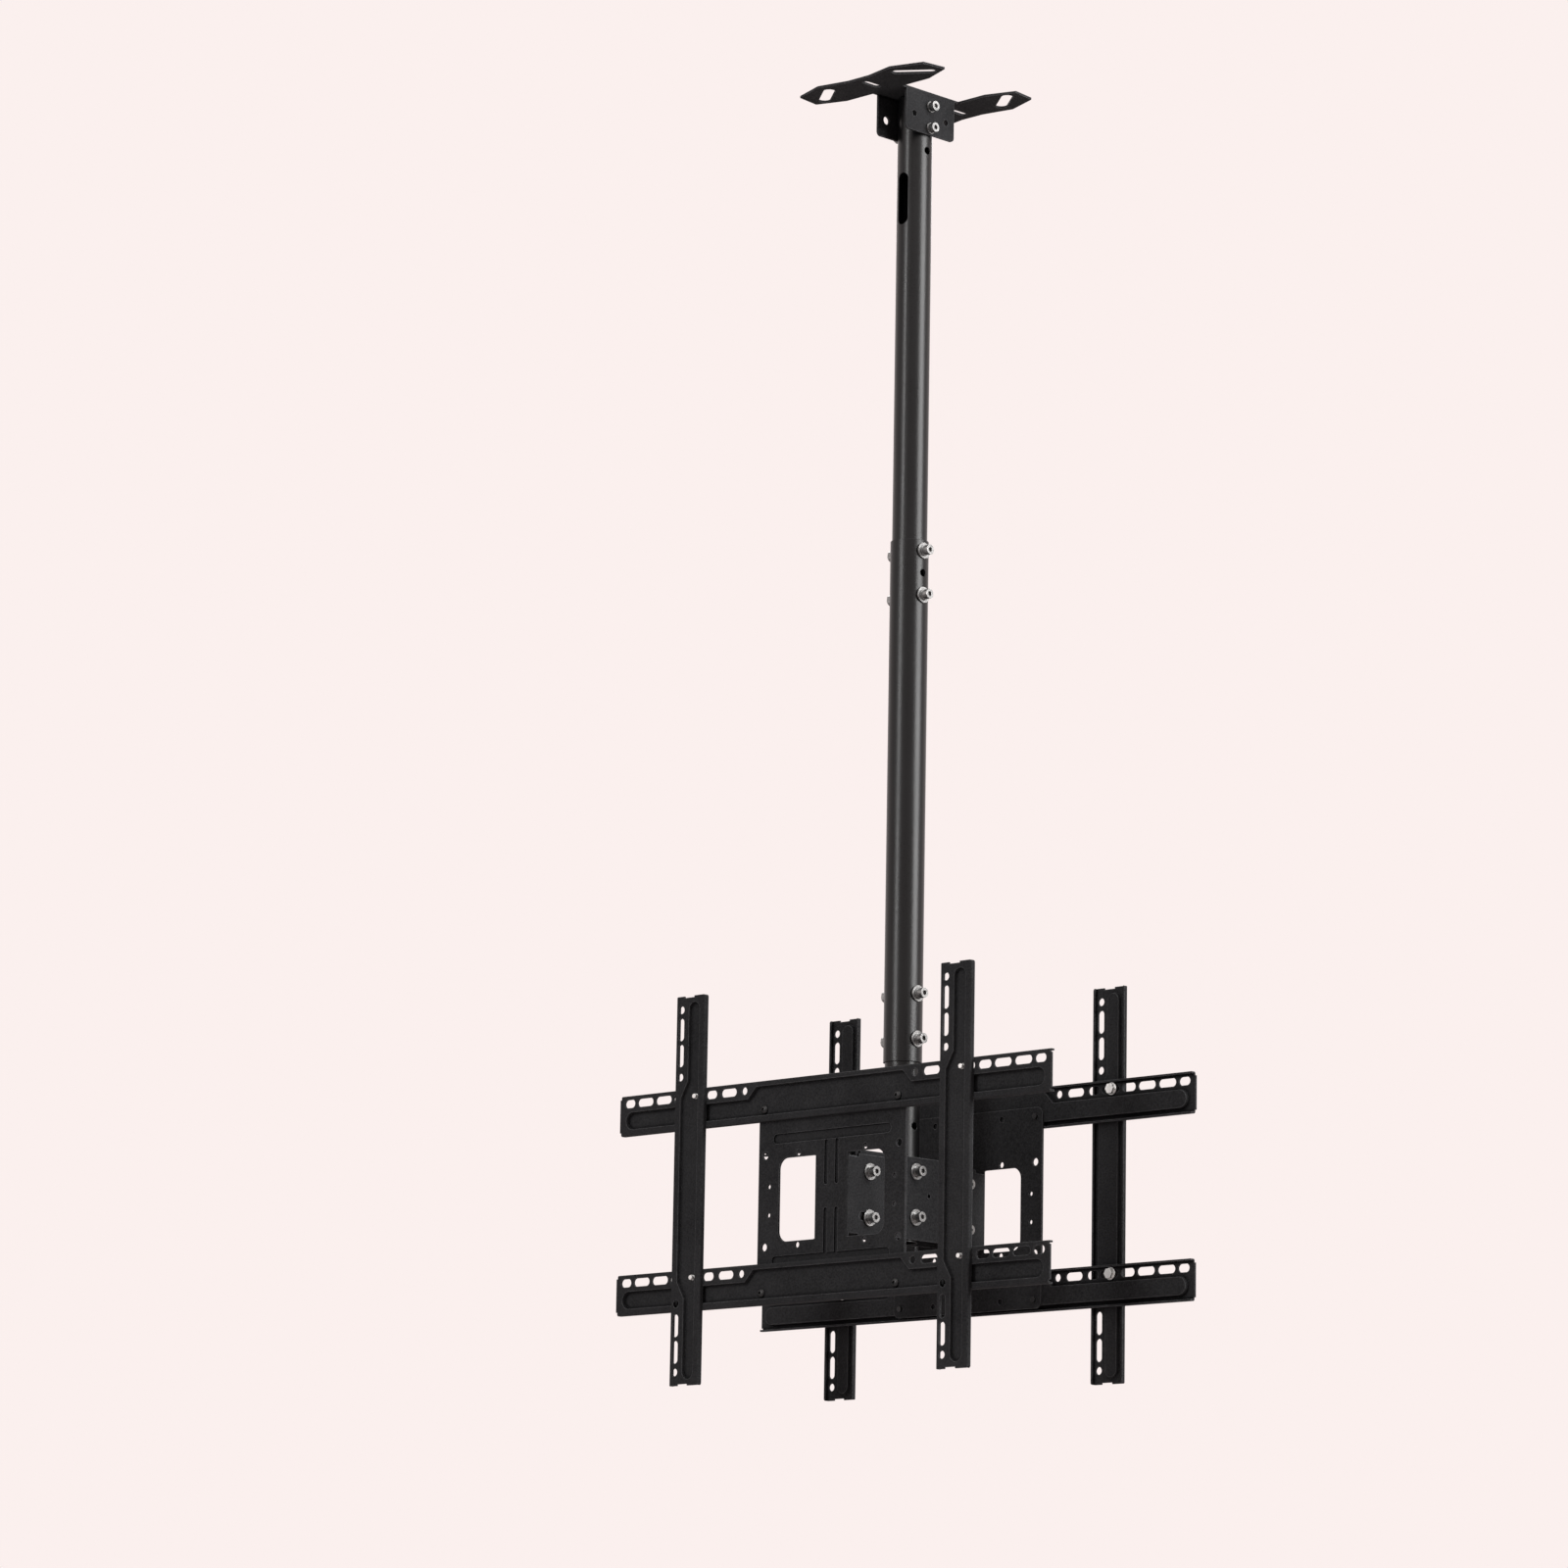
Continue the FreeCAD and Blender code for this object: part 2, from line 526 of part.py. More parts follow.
def face_plate():
    """Head plate with two windows, whose flaps are bent back at the inner edges."""
    gauge, reach = D["face_gauge"], D["face_reach"]
    y = gauge / 2 - reach
    sheet = round_sheet("face_sheet", (0, y, 0), D["face_width"], D["face_height"], gauge,
                        D["face_corner"], FACING)
    flaps, windows, tools = [], [], []
    tall, high = D["flap_height"], D["window_height"]
    wide = D["window_reach"] - FLAP_OUT
    for side in (-1, 1):
        flaps.append(box("flap", ((FLAP_OUT - gauge / 2) * side - gauge / 2, -reach, -tall / 2),
                         (gauge, D["flap_depth"], tall)))
        centre = (FLAP_OUT + wide / 2) * side
        windows.append(round_sheet("window", (centre, y, 0), wide, high, gauge * CUTTER,
                                   D["window_corner"], FACING))
        inner_half = centre - wide / 4 * side - wide / 4
        windows.append(box("window_side", (inner_half, y - gauge * CUTTER / 2, -high / 2),
                           (wide / 2, gauge * CUTTER, high)))
        tools.append(bend("flap_bend", (FLAP_OUT * side, -reach, -tall / 2), (-side, 1, 0), tall,
                          gauge, "z"))
        for z in (-tall / 2, tall / 2 - D["flap_notch"]):
            tools.append(box("flap_notch", ((FLAP_OUT - gauge / 2) * side - gauge, gauge - reach, z),
                             (gauge * 2, D["flap_notch_run"], D["flap_notch"])))
    body = fuse("face_body", [cut("face_open", sheet, windows)] + flaps)
    tools += cross_holes("pivot_hole", [PIVOT - HEAD], D["bolt_hole"], -D["tilt_bolt_reach"])
    half_turn = D["tilt_range"].value / 2
    chord = D["tilt_pitch"] * math.sin(math.radians(half_turn))
    run, rise = [chord * f(math.radians(half_turn)) for f in (math.cos, math.sin)]
    tools.append(slot("tilt_slot", (0, -D["tilt_bolt_reach"] - run, LOCK - HEAD + rise),
                      chord * 2 + D["tilt_slot_width"], D["tilt_slot_width"], THROUGH,
                      Rotation(Vector(1, 0, 0), -half_turn).multiply(ENDWAYS)))
    near, far = D["screen_hole_near"], D["screen_hole_wide"]
    bores = {near.value: D["near_hole_bore"], far.value: D["screen_hole_bore"]}
    for a in (-1, 1):
        for b in (-1, 1):
            for x in (near, far):
                tools.append(hole("screen_hole", bores[x.value], gauge * CUTTER, (x * a, y, near * b), "y"))
                tools.append(hole("rail_hole", D["rail_screw_bore"], gauge * CUTTER,
                                  (x * a, y, D["rail_row"] * b), "y"))
            tools.append(hole("pilot", D["pilot_bore"], gauge * CUTTER,
                              (D["pilot_x"] * a, y, D["pilot_z"] * b), "y"))
            tools.append(slot("stem_bead", (D["stem_x"] * a, -reach, D["stem_rise"] * b), D["stem_length"],
                              D["stem_width"], D["bead_depth"] * 2, UPRIGHT))
    for z, length in ((D["bead_rise"], D["bead_length"]), (-D["low_bead_drop"], D["low_bead_length"])):
        tools.append(slot("long_bead", (0, -reach, z), length, D["bead_width"], D["bead_depth"] * 2,
                          FACING))
    return cut("face_plate", body, tools)


def pressed(name, outline, caps, face, depth, run, plane_turn=FACING):
    """A band pressed back from a face: straight sides that slope, and round sloping ends."""
    slope = math.degrees(math.atan2(run.value, depth.value))
    flat = prism(name + "_band", drawing(name + "_outline", outline, (0, -face, 0), plane_turn),
                 depth, slope, back=True)
    cones = []
    for x, z, radius in caps:
        cone = DOC.addObject("Part::Cone", name + "_end")
        bind(cone, "Radius1", radius)
        bind(cone, "Radius2", radius - run)
        bind(cone, "Height", depth)
        cones.append(place(cone, (x, -face, z), ALONG["y"]))
    return [flat] + cones


def rail():
    """Rail: a shallow channel with a pressed band and a row of slots along each wing."""
    gauge, half, depth = D["rail_gauge"], D["rail_length"] / 2, D["rail_depth"]
    foot = -D["rail_foot"]
    crown = foot + D["rail_height"]
    web = box("rail_web", (-half, -RAIL_FACE, foot), (half * 2, gauge, D["rail_height"]))
    lips = [box("rail_lip", (-half, -RAIL_FACE, z), (half * 2, depth, gauge))
            for z in (foot, crown - gauge)]
    low, high, top = [foot + D[k] for k in ("rail_step_low", "rail_step_high", "rail_step_mid")]
    radius = (high - low) / 2
    start, bulge = D["rail_step_reach"] - radius, D["rail_mid_reach"]

    def band(name, grow, deep):
        """The band grown by a wall, so that the same outline makes the sheet and its hollow."""
        a, b, c = low - grow, high + grow, top + grow
        slant = bulge + grow * (math.sqrt(2) - 1)
        right = [(start, a), (start, b), (slant + (c - b), b), (slant, c)]
        left = [(-x, z) for x, z in reversed(right)]
        caps = [(start * side, low + radius, radius + grow) for side in (-1, 1)]
        run = D["press_slope"] * deep.value / (depth - gauge).value
        return pressed(name, right + left, caps, RAIL_FACE, deep, run)

    bump = band("rail_bump", D["band_wall"], depth)
    tools = band("rail_hollow", as_size(0), depth - gauge)
    row = D["rail_slot_row"]
    for side in (-1, 1):
        for first, last in RAIL_SLOTS:
            tools.append(slot("rail_slot", ((D[first] + D[last]) / 2 * side, -RAIL_FACE, row),
                              D[last] - D[first], D["rail_slot_width"], gauge * CUTTER, FACING))
        tools.append(hole("rail_round", D["rail_round_bore"], gauge * CUTTER,
                          (D["rail_round_x"] * side, -RAIL_FACE, row), "y"))
        tools.append(hole("rail_screw_hole", D["rail_screw_bore"], THROUGH,
                          (D["screen_hole_wide"] * side, -RAIL_FACE, 0), "y"))
        step, tall = D["rail_corner_run"], D["rail_corner_rise"]
        for z in (foot, crown - tall):
            tools.append(box("rail_corner", ((half - step / 2) * side - step / 2, -RAIL_FACE, z),
                             (step, depth, tall)))
    for z, way in ((foot, 1), (crown, -1)):
        tools.append(bend("rail_bend", (-half, -RAIL_FACE, z), (0, 1, way), half * 2, gauge, "x"))
    return cut("rail", fuse("rail_body", [web] + lips + bump), tools)


def bar(name, way):
    """Upright bar: a hole line by one edge and a pressed band by the other; way -1 is turned over."""
    gauge, half, depth = D["bar_gauge"], D["bar_height"] / 2, D["bar_depth"]
    left = -D["bar_hole_inset"]
    right = left + D["bar_width"]
    web = box(name + "_web", (left, -BAR_FACE, -half), (D["bar_width"], gauge, half * 2))
    lips = [box(name + "_lip", (x, -BAR_FACE, -half), (gauge, depth, half * 2))
            for x in (left, right - gauge)]
    near, wide, far = [left + D[k] for k in ("bar_step_near", "bar_step_wide", "bar_step_far")]
    radius = (far - near) / 2
    start = half - D["bar_step_inset"] - radius
    jog = half - D["bar_jog_start"]

    def band(label, grow, deep):
        """The band grown by a wall, so that the same outline makes the sheet and its hollow."""
        upper = [(far + grow, start), (near - grow, start), (near - grow, jog + grow * JOG_SHARE),
                 (wide - grow, jog - D["bar_jog_run"] + grow * JOG_SHARE)]
        lower = [(x, -z) for x, z in reversed(upper)]
        caps = [(near + radius, start * end, radius + grow) for end in (-1, 1)]
        run = D["press_slope"] * deep.value / (depth - gauge).value
        return pressed(label, upper + lower, caps, BAR_FACE, deep, run)

    bump = band(name + "_bump", D["band_wall"], depth)
    tools = band(name + "_hollow", as_size(0), depth - gauge)
    first = D["screen_pitch_z"] / 2
    for end in (-1, 1):
        for shift in (as_size(0), D["bar_hole_two"]):
            tools.append(hole("bar_hole", D["bar_hole_bore"], THROUGH,
                              (0, -BAR_FACE, (first - shift) * end), "y"))
        for shift in (D["bar_slot_one"], D["bar_slot_two"]):
            tools.append(slot("bar_slot", (0, -BAR_FACE, (first - shift) * end), D["bar_slot_length"],
                              D["bar_hole_bore"], THROUGH, UPRIGHT))
        notch = D["bar_notch_depth"]
        tools.append(box("bar_notch", (left + D["bar_notch_start"], -BAR_FACE,
                                       (half - notch / 2) * end - notch / 2),
                         (D["bar_notch_width"], depth, notch)))
        for x, inward in ((left, 1), (right, -1)):
            tools.append(bend("bar_corner", (x, -BAR_FACE, half * end), (inward, 0, -end), depth,
                              D["bar_corner"], "y"))
    for z in SCREW_ROWS:
        tools.append(hole("bar_screw_hole", D["bar_screw_bore"], THROUGH,
                          (D["bar_screw_x"], -BAR_FACE, (z - HEAD - D["bar_rise"]) * way), "y"))
    for x, inward in ((left, 1), (right, -1)):
        tools.append(bend("bar_bend", (x, -BAR_FACE, -half), (inward, 1, 0), half * 2, gauge, "z"))
    return cut(name, fuse(name + "_body", [web] + lips + bump), tools)


def span(side, near, far):
    """Low end and length of the stretch from near to far on one side of the middle."""
    return (near if side > 0 else -far), far - near


def ring(name, outer, inner, side, near, far, y, z, split=False):
    """A washer about a bolt that runs along X, with a gap when it is a spring washer."""
    low, length = span(side, near, far)
    tools = [rod(name + "_bore", inner, length, (low, y, z), "x")]
    if split:
        gap = D["spring_split"]
        tools.append(box(name + "_split", (low, y - gap / 2, z), (length, gap, outer)))
    return cut(name, rod(name, outer, length, (low, y, z), "x"), tools)


def nut(name, side, near, far, y, z, bore):
    """A nut with its outer corners taken off, on the X side of a face."""
    low, length = span(side, near, far)
    flats = D["bolt_flats"]
    cone = DOC.addObject("Part::Cone", name + "_crown")
    small = flats * CROWN_SHARE
    large = small + length * math.sqrt(3)
    bind(cone, "Radius1", large if side > 0 else small)
    bind(cone, "Radius2", small if side > 0 else large)
    bind(cone, "Height", length)
    place(cone, (low, y, z), ALONG["x"])
    item = DOC.addObject("Part::MultiCommon", name)
    item.Shapes = [hexagon(name + "_hex", flats, length, (low, y, z)), cone]
    return cut(name + "_bored", item, [rod(name + "_bore", bore, length, (low, y, z), "x")])


def socket_head(name, side, near, y, z):
    """A round bolt head with a hexagon socket in its end, on the X side of a seat."""
    low, length = span(side, near, near + D["bolt_head"])
    deep = D["bolt_socket_depth"]
    end = near + D["bolt_head"]
    socket = hexagon(name + "_socket", D["bolt_socket"], deep, (span(side, end - deep, end)[0], y, z))
    return cut(name, rod(name + "_body", D["bolt_head_across"], length, (low, y, z), "x"), [socket])


def bolt_set(label, places, head_face, nut_face, flat=True):
    """Bolts along X with their washers and nuts; each place is a side, a Y and a Z."""
    bolts, flats, springs, nuts = [], [], [], []
    size, bore = D["bolt_size"], D["bolt_size"] + D["thread_slack"]
    for side, y, z in places:
        seat = head_face
        if flat:
            flats.append(ring(label + "_flat", D["washer_outer"], bore, side, seat,
                              seat + D["washer_gauge"], y, z))
            seat = seat + D["washer_gauge"]
        springs.append(ring(label + "_spring", D["spring_outer"], bore, side, seat,
                            seat + D["spring_gauge"], y, z, split=True))
        seat = seat + D["spring_gauge"]
        foot = nut_face - D["nut_height"]
        shank = [rod(label + part, across, length, (low, y, z), "x")
                 for part, across, (low, length) in (
                     ("_shank", size, span(side, foot, seat)),
                     ("_end", D["thread_root"], span(side, foot - D["bolt_spare"], foot)))]
        bolts.append(fuse(label + "_bolt", shank + [socket_head(label + "_head", side, seat, y, z)]))
        nuts.append(nut(label + "_nut", -side, -nut_face, D["nut_height"] - nut_face, y, z, bore))
    node(label + "_bolts", bolts)
    node(label + "_spring_washers", springs)
    node(label + "_nuts", nuts)
    if flat:
        node(label + "_washers", flats)


def fasteners():
    """The socket bolts: through the cheeks, both tube joints, the head tube and the tilt plates."""
    sleeve = D["sleeve_outer"] / 2
    bolt_set("ceiling", [(1, 0, z) for z in TOP_BOLTS[:2]], CHEEK_OUT, -CHEEK_OUT, flat=False)
    bolt_set("upper_joint", [(1, 0, z) for z in UPPER_JOINT], sleeve, -sleeve)
    bolt_set("lower_joint", [(1, 0, z) for z in LOWER_JOINT], sleeve, -sleeve)
    bolt_set("head", [(1, 0, z) for z in HEAD_BOLTS], SIDE_OUT, -SIDE_OUT)
    for label, way in (("front_tilt", -1), ("back_tilt", 1)):
        spots = [(side, D["tilt_bolt_reach"] * way, z) for side in (-1, 1) for z in (PIVOT, LOCK)]
        bolt_set(label, spots, FLAP_OUT, SIDE_IN)


def rail_screw():
    """Round socket screw that holds a rail to its plate, its head in the pressed band."""
    seat = RAIL_FACE - D["rail_depth"] + D["rail_gauge"]
    across, rise = D["rail_screw_head"], D["rail_screw_rise"]
    dome_radius = across * DOME_SHARE
    dome = DOC.addObject("Part::Sphere", "rail_screw_dome")
    bind(dome, "Radius", dome_radius)
    place(dome, (0, dome_radius - rise - seat, 0))
    head = DOC.addObject("Part::MultiCommon", "rail_screw_head")
    head.Shapes = [rod("rail_screw_blank", across, rise, (0, -seat - rise, 0), "y"), dome]
    shank = rod("rail_screw_shank", D["rail_screw_size"], D["rail_gauge"] + D["face_gauge"] * 2,
                (0, -seat, 0), "y")
    socket = hexagon("rail_screw_socket", D["rail_screw_socket"], rise * SOCKET_SHARE,
                     (0, -seat - rise, 0), "y")
    return cut("rail_screw", fuse("rail_screw_body", [head, shank]), [socket])


def bar_screw():
    """Hexagon screw from behind a rail, through its slot, with its end in the bar's band."""
    seat = RAIL_FACE - D["rail_gauge"] - D["bar_washer_gauge"]
    floor = BAR_FACE - D["bar_depth"] + D["bar_gauge"]
    tip = floor + D["bar_screw_end"]
    shank = rod("bar_screw_shank", D["bar_screw_size"], floor - seat, (0, -floor, 0), "y")
    end = rod("bar_screw_tip", D["bar_screw_core"], D["bar_screw_end"], (0, -tip, 0), "y")
    head = hexagon("bar_screw_head", D["bar_screw_head"], D["bar_screw_rise"], (0, -seat, 0), "y")
    return fuse("bar_screw", [shank, end, head])


def bar_washer():
    """Flat washer between a bar screw's head and the rail."""
    gauge = D["bar_washer_gauge"]
    spot = (0, D["rail_gauge"] - RAIL_FACE, 0)
    blank = rod("bar_washer_blank", D["bar_washer_outer"], gauge, spot, "y")
    return cut("bar_washer", blank, [rod("bar_washer_bore", D["bar_screw_bore"], gauge, spot, "y")])


def heads():
    """Both heads: plate, two rails and their screws, then the bars that slide along the rails."""
    plate, channel, screw = face_plate(), rail(), rail_screw()
    uprights = {"front": bar("front_bar", 1), "back": bar("back_bar", -1)}
    stud, washer = bar_screw(), bar_washer()
    turns = {"front": (LEVEL, LEVEL), "back": (HALF_TURN_Z, HALF_TURN_X)}
    for where, (turn, bar_turn) in turns.items():
        node(where + "_plate", [copy(where + "_plate", plate, (0, 0, HEAD), turn)])
        for level, z in (("upper", HEAD + D["rail_row"]), ("lower", HEAD - D["rail_row"])):
            label = "%s_%s_rail" % (where, level)
            node(label, [copy(label, channel, (0, 0, z), turn)])
        spots = [(D["screen_hole_wide"] * a, 0, HEAD + D["rail_row"] * b) for a in (-1, 1) for b in (-1, 1)]
        node(where + "_rail_screws", [copy(where + "_rail_screw", screw, spot, turn) for spot in spots])
        for hand, side in (("left", -1), ("right", 1)):
            label = "%s_%s_bar" % (where, hand)
            x = D[where + "_screw_shift"] + D["screen_pitch_x"] / 2 * side
            node(label, [copy(label, uprights[where], (x - D["bar_screw_x"], 0, HEAD + D["bar_rise"]),
                              bar_turn)])
            node(label + "_screws", [copy(label + "_screw", stud, (x, 0, z), turn) for z in SCREW_ROWS])
            node(label + "_washers", [copy(label + "_washer", washer, (x, 0, z), turn)
                                      for z in SCREW_ROWS])


def export():
    """Checks every object, then writes one file for each sub-part."""
    DOC.recompute()
    bad = [item.Name for item in DOC.Objects if {"Invalid", "Error"} & set(item.State)]
    bad += [item.Label for item in NODES if item.Shape.isNull() or not item.Shape.isValid()]
    if bad:
        raise RuntimeError("not sound: %s" % ", ".join(bad))
    os.makedirs("parts", exist_ok=True)
    for item in NODES:
        item.Shape.exportStep("parts/%s.step" % item.Label)
        print("%-26s %2d solids %12.1f mm3" % (item.Label, len(item.Shape.Solids), item.Shape.Volume))


ceiling_bracket()
tubes()
side_plates()
fasteners()
heads()
export()
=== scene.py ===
"""Looks of a ceiling mount that carries two screens back to back. All lengths are in metres.

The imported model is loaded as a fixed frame. Each sub-assembly below dresses its own nodes in
their finishes and adds the threads that the solids leave out, and the studio lights the whole.
"""
from __future__ import annotations

import logging
import math
from dataclasses import dataclass
from enum import Enum
from typing import Iterable, Union

import bmesh
import bpy
from mathutils import Matrix, Vector


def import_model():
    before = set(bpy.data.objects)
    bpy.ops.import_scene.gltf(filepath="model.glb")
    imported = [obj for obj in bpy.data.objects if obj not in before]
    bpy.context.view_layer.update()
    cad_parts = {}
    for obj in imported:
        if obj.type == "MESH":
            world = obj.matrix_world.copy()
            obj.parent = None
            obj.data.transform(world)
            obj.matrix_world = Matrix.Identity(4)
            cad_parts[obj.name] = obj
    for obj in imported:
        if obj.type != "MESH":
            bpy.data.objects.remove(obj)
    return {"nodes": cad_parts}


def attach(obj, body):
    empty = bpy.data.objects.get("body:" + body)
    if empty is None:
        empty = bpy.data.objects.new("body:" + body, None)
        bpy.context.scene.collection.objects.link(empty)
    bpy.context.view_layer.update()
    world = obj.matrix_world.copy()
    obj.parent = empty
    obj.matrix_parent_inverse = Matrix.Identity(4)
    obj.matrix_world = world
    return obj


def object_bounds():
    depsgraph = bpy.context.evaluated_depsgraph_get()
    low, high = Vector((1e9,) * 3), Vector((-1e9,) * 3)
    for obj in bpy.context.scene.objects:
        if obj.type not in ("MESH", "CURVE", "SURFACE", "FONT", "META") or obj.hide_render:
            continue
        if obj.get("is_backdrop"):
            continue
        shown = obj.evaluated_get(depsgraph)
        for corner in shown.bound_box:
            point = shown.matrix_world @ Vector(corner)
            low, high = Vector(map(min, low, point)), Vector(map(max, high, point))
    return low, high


LOG = logging.getLogger("ceiling_mount")
Number = Union[float, "Wire"]
Colour = tuple[float, float, float, float]

# A screen's colour curve (sRGB) is straight near black, and a power from there to white.
SCREEN_WHITE = 255
STRAIGHT_END = 0.04045
STRAIGHT_SLOPE = 12.92
CURVE_LIFT = 0.055
CURVE_POWER = 2.4

# Rays that the mask of edges and the mask of the painted shade in inside corners take at a point.
EDGE_SAMPLES = 4
PAINTED_SHADE_SAMPLES = 6
# How closed in a point is where the painted shade in inside corners starts, and where it is full.
PAINTED_SHADE_RANGE = (0.10, 0.42)
# A Mix node has sockets for each kind of value. These are the ones for colours.
MIX_SHARE, MIX_FIRST, MIX_SECOND, MIX_RESULT = 0, 6, 7, 2
# The value that noise lies around.
NOISE_MIDDLE = 0.5
# Vertices nearer to each other than this are one.
WELD_REACH = 1e-6


def linear(red: int, green: int, blue: int) -> Colour:
    """Turns a screen colour into the linear colour that a shader takes.

    Args:
        red, green, blue: The colour as it shows on a screen, 0 to 255.

    Returns:
        The linear colour with an alpha of 1.
    """
    parts = []
    for value in (red, green, blue):
        share = value / SCREEN_WHITE
        if share <= STRAIGHT_END:
            parts.append(share / STRAIGHT_SLOPE)
        else:
            parts.append(((share + CURVE_LIFT) / (1 + CURVE_LIFT)) ** CURVE_POWER)
    return (parts[0], parts[1], parts[2], 1.0)


@dataclass(frozen=True)
class Noise:
    """A random cloud: waves in a metre, finer waves on top, and how strong the finer ones are."""

    scale: float
    detail: float = 2.0
    rough: float = 0.5


class Wire:
    """One output of a shader node, on which plain arithmetic adds Math nodes."""

    def __init__(self, graph: "Graph", socket: bpy.types.NodeSocket | None) -> None:
        """Keeps the graph that the socket belongs to."""
        self.graph = graph
        self.socket = socket

    def __add__(self, other: Number) -> "Wire":
        """Sum."""
        return self.graph.combine("ADD", self, other)

    def __radd__(self, other: Number) -> "Wire":
        """Sum, reflected."""
        return self.graph.combine("ADD", other, self)

    def __sub__(self, other: Number) -> "Wire":
        """Difference."""
        return self.graph.combine("SUBTRACT", self, other)

    def __rsub__(self, other: Number) -> "Wire":
        """Difference, reflected."""
        return self.graph.combine("SUBTRACT", other, self)

    def __mul__(self, other: Number) -> "Wire":
        """Product."""
        return self.graph.combine("MULTIPLY", self, other)

    def within(self, low: float, high: float) -> "Wire":
        """Stretches the range from low to high over 0 to 1, and cuts off what is outside.

        Args:
            low: The value that becomes 0.
            high: The value that becomes 1.

        Returns:
            The new value.
        """
        return self.graph.add("ShaderNodeMapRange", {"clamp": True},
                              {"Value": self, "From Min": low, "From Max": high})


class Graph:
    """The node tree of one material or world."""

    def __init__(self, owner: bpy.types.Material | bpy.types.World) -> None:
        """Empties the tree.

        Args:
            owner: The material or world that the tree belongs to.
        """
        owner.use_nodes = True
        self.owner = owner
        self.tree = owner.node_tree
        self.tree.nodes.clear()

    def add(self, kind: str, settings: dict | None = None, inputs: dict | None = None,
            output: str | int = 0) -> Wire:
        """Adds a node of any type.

        Args:
            kind: The node's type.
            settings: Its own settings, which are set first.
            inputs: Values or wires for its sockets, by name or number.
            output: The name or number of the output that is wanted.

        Returns:
            That output.
        """
        node = self.tree.nodes.new(kind)
        for key, value in (settings or {}).items():
            setattr(node, key, value)
        for key, value in (inputs or {}).items():
            if isinstance(value, Wire):
                self.tree.links.new(value.socket, node.inputs[key])
            else:
                node.inputs[key].default_value = value
        return Wire(self, node.outputs[output] if node.outputs else None)

    def combine(self, operation: str, first: Number, second: Number) -> Wire:
        """Adds one Math node.

        Args:
            operation: The Math node's operation.
            first: Its first value.
            second: Its second value.

        Returns:
            The node's result.
        """
        return self.add("ShaderNodeMath", {"operation": operation}, {0: first, 1: second})

    def place(self) -> Wire:
        """The point on the surface, in the object's own coordinates."""
        return self.add("ShaderNodeTexCoord", output="Object")

    def ray(self, question: str) -> Wire:
        """The answer, 0 or 1, to a question on the kind of ray."""
        return self.add("ShaderNodeLightPath", output=question)

    def cloud(self, at: Wire, noise: Noise) -> Wire:
        """Noise at a point."""
        inputs = {"Vector": at, "Scale": noise.scale, "Detail": noise.detail, "Roughness": noise.rough}
        return self.add("ShaderNodeTexNoise", {"noise_dimensions": "3D"}, inputs, "Fac")

    def grains(self, at: Wire, scale: float) -> Wire:
        """Distance to the nearest of many scattered points, for pimples."""
        return self.add("ShaderNodeTexVoronoi", {"feature": "F1"},
                        {"Vector": at, "Scale": scale, "Randomness": 1.0}, "Distance")

    def blend(self, share: Wire, first: Wire | Colour, second: Wire | Colour) -> Wire:
        """Mixes two colours.

        Args:
            share: How much of the second.
            first: The first colour.
            second: The second colour.

        Returns:
            The mixed colour.
        """
        return self.add("ShaderNodeMix", {"data_type": "RGBA", "clamp_factor": True},
                        {MIX_SHARE: share, MIX_FIRST: first, MIX_SECOND: second}, MIX_RESULT)

    def softened(self, radius: float) -> Wire:
        """The surface's direction with its edges rounded over a radius."""
        return self.add("ShaderNodeBevel", {"samples": EDGE_SAMPLES}, {"Radius": radius}, "Normal")

    def edges(self, radius: float, strength: float) -> Wire:
        """Finds outside and inside edges.

        Args:
            radius: How wide the edge is.
            strength: How fast the mask fills.

        Returns:
            1 on an edge and 0 on a flat.
        """
        facing = self.add("ShaderNodeNewGeometry", output="Normal")
        turned = self.add("ShaderNodeVectorMath", {"operation": "DOT_PRODUCT"},
                          {0: self.softened(radius), 1: facing}, "Value")
        return ((1.0 - turned) * strength).within(0.0, 1.0)

    def painted_shade_mask(self, reach: float) -> Wire:
        """Finds inside corners and grooves, where shade is painted into the colour.

        Args:
            reach: How far from a corner the mask still shows.

        Returns:
            1 far into a corner and 0 on an open flat.
        """
        settings = {"samples": PAINTED_SHADE_SAMPLES, "only_local": True}
        # Ambient occlusion here only picks the places where shade is painted into the colour.
        open_share = self.add("ShaderNodeAmbientOcclusion", settings, {"Distance": reach}, "AO")
        return (1.0 - open_share).within(*PAINTED_SHADE_RANGE)

    def bump(self, height: Wire, distance: float, normal: Wire) -> Wire:
        """Raises the surface.

        Args:
            height: 0 to 1.
            distance: Real height of 1.
            normal: The direction to start from.

        Returns:
            The new direction.
        """
        inputs = {"Height": height, "Distance": distance, "Strength": 1.0, "Normal": normal}
        return self.add("ShaderNodeBump", {}, inputs, "Normal")

    def finish(self, inputs: dict) -> bpy.types.Material:
        """Closes a material's graph with a Principled shader.

        Args:
            inputs: Values or wires for the shader's sockets.

        Returns:
            The material.
        """
        shader = self.add("ShaderNodeBsdfPrincipled", {}, inputs, "BSDF")
        self.add("ShaderNodeOutputMaterial", {}, {"Surface": shader})
        return self.owner


